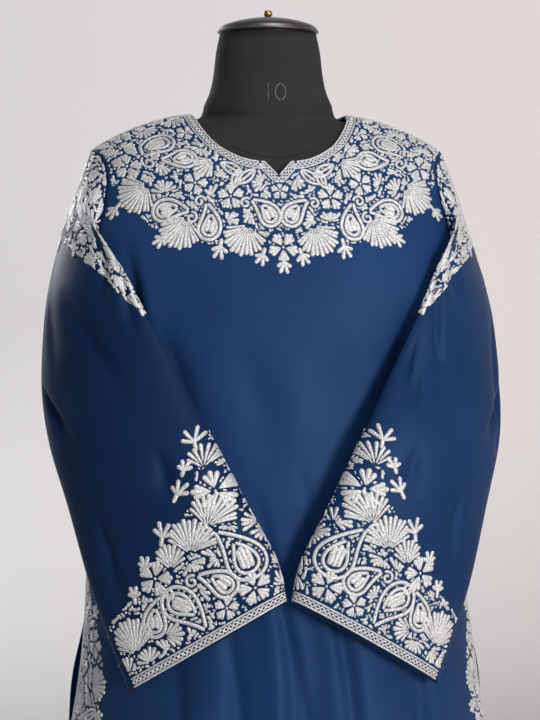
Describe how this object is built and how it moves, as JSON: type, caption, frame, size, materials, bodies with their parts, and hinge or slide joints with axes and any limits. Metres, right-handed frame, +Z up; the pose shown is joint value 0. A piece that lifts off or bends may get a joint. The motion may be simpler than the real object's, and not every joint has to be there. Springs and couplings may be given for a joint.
{
  "type": "pheran on dress form",
  "caption": "Long loose robe with a notched neck, folded sleeves, side pocket slashes and braided edges, resting on a limbless dress form with a neck cap, pole and round base.",
  "frame": {"origin": "on the floor, at the centre of the round base's underside", "axes": "+Z up along the pole; the robe's front faces -Y; +X is the side of the robe's left sleeve, which is the picture's right"},
  "size_m": [0.612, 0.476, 1.5503],
  "materials": {
    "robe_cloth": "navy satin-weave cloth with a soft sheen",
    "silver_thread": "silver metallic thread, twisted and couched",
    "pocket_cloth": "plain navy lining cloth",
    "form_jersey": "black stretched jersey",
    "varnished_wood": "brown varnish",
    "cap_metal": "worn grey metal",
    "knob_brass": "plain",
    "pole_metal": "plain",
    "base_enamel": "black satin enamel"
  },
  "bodies": {
    "root": {"front": "robe_cloth", "back": "robe_cloth", "sleeve_right": "robe_cloth", "sleeve_left": "robe_cloth", "neck_braid_front": "silver_thread", "neck_braid_back": "silver_thread", "cuff_braid_right": "silver_thread", "cuff_braid_left": "silver_thread", "pocket_braid_right": "silver_thread", "pocket_braid_left": "silver_thread", "pocket_bag_right": "pocket_cloth", "pocket_bag_left": "pocket_cloth", "form_torso": "form_jersey", "form_disc": "varnished_wood", "form_cap": "cap_metal", "form_knob": "knob_brass", "stand_pole": "pole_metal", "stand_base": "base_enamel"}
  },
  "joints": []
}
